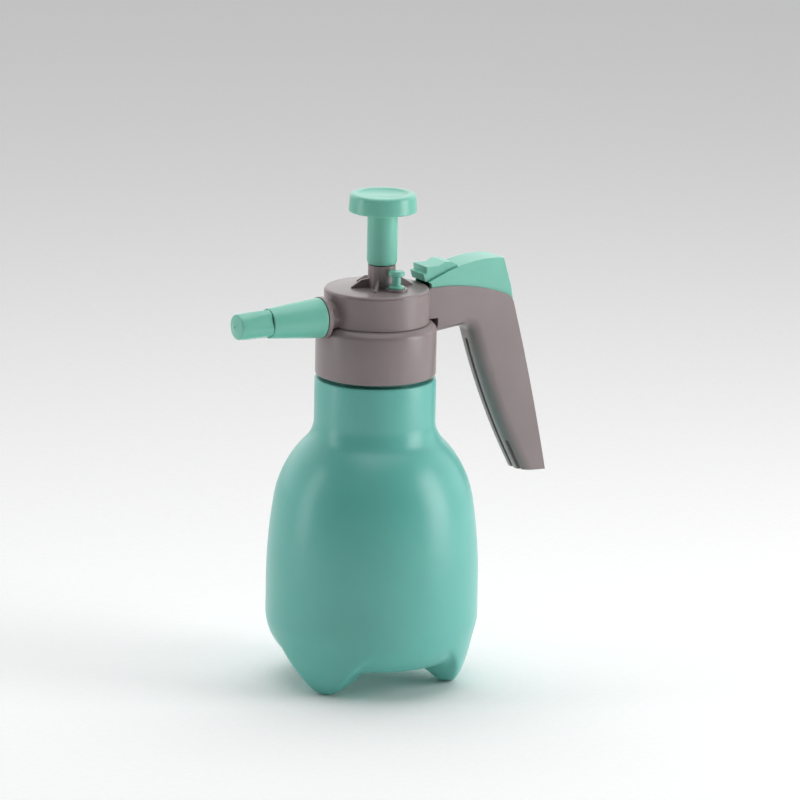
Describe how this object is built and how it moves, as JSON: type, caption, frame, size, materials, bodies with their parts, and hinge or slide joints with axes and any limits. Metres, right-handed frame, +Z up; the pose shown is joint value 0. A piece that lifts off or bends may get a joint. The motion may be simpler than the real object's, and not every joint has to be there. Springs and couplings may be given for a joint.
{
  "type": "hand mister",
  "caption": "Hand-pumped pressure mister: round bottle on three feet, screw collar, head with pistol handle and thumb trigger, piston pump, relief valve and adjustable cone nozzle.",
  "frame": {"origin": "on the bottle's axis, in the plane that the feet stand on", "axes": "+Z up along the bottle's axis; +X the way the nozzle sprays; the handle is on the -X side"},
  "size_m": [0.1993, 0.12, 0.28],
  "materials": {
    "bottle_mint": "blow-moulded polyethylene, satin",
    "trim_mint": "injection-moulded polypropylene, satin",
    "head_grey": "injection-moulded polypropylene, satin",
    "inner_white": "natural polypropylene",
    "seal_rubber": "moulded nitrile rubber",
    "hose_clear": "soft extruded PVC",
    "spring_steel": "stainless spring wire"
  },
  "bodies": {
    "bottle": {"bottle": "bottle_mint"},
    "head": {"head_base": "inner_white", "head_housing": "head_grey", "handle_cover": "trim_mint", "neck_gasket": "seal_rubber", "trigger_pin": "spring_steel", "valve_body": "inner_white", "valve_spring": "spring_steel", "supply_hose": "hose_clear", "outlet_hose": "hose_clear", "pump_cap": "head_grey", "pump_cylinder": "inner_white", "pump_check_valve": "seal_rubber", "relief_valve_spring": "spring_steel", "nozzle_cone": "trim_mint", "spigot_oring": "seal_rubber", "swirl_core": "inner_white", "dip_tube": "hose_clear", "dip_strainer": "inner_white"},
    "collar": {"collar": "head_grey"},
    "plunger": {"piston": "inner_white", "piston_cup": "seal_rubber", "pump_rod": "inner_white", "pump_knob": "trim_mint"},
    "trigger": {"thumb_trigger": "trim_mint"},
    "spray_valve": {"valve_stem": "inner_white", "valve_seal": "seal_rubber"},
    "relief_valve": {"relief_valve_pull": "trim_mint", "relief_valve_seal": "seal_rubber", "relief_valve_clip": "spring_steel"},
    "tip": {"nozzle_tip": "trim_mint"}
  },
  "joints": [
    {"name": "head_lift", "type": "slide", "parent": "bottle", "child": "head", "axis": [0, 0, 1], "range_m": [0, 0.19]},
    {"name": "collar_turn", "type": "hinge", "parent": "head", "child": "collar", "pos_m": [0, 0, 0.19], "axis": [0, 0, 1], "range_deg": [0, 540]},
    {"name": "pump_stroke", "type": "slide", "parent": "head", "child": "plunger", "axis": [0, 0, 1], "range_m": [0, 0.08]},
    {"name": "trigger_press", "type": "hinge", "parent": "head", "child": "trigger", "pos_m": [-0.052, 0, 0.2307], "axis": [0, 1, 0], "range_deg": [0, 3.2], "stiffness_Nm_per_rad": 2, "springref_deg": -2.86},
    {"name": "valve_open", "type": "slide", "parent": "head", "child": "spray_valve", "axis": [0, 0, -1], "range_m": [0, 0.00088], "deforming": ["valve_spring"]},
    {"name": "relief_lift", "type": "slide", "parent": "head", "child": "relief_valve", "axis": [0, 0, 1], "range_m": [0, 0.003], "stiffness_N_per_m": 300, "springref_m": -0.004, "deforming": ["relief_valve_spring"]},
    {"name": "tip_turn", "type": "hinge", "parent": "head", "child": "tip", "pos_m": [0.08, 0, 0.2127], "axis": [1, 0, 0], "range_deg": [-180, 180]}
  ],
  "couplings": [
    {"joint": "valve_open", "follows": "trigger_press", "m_per_rad": 0.0155}
  ]
}
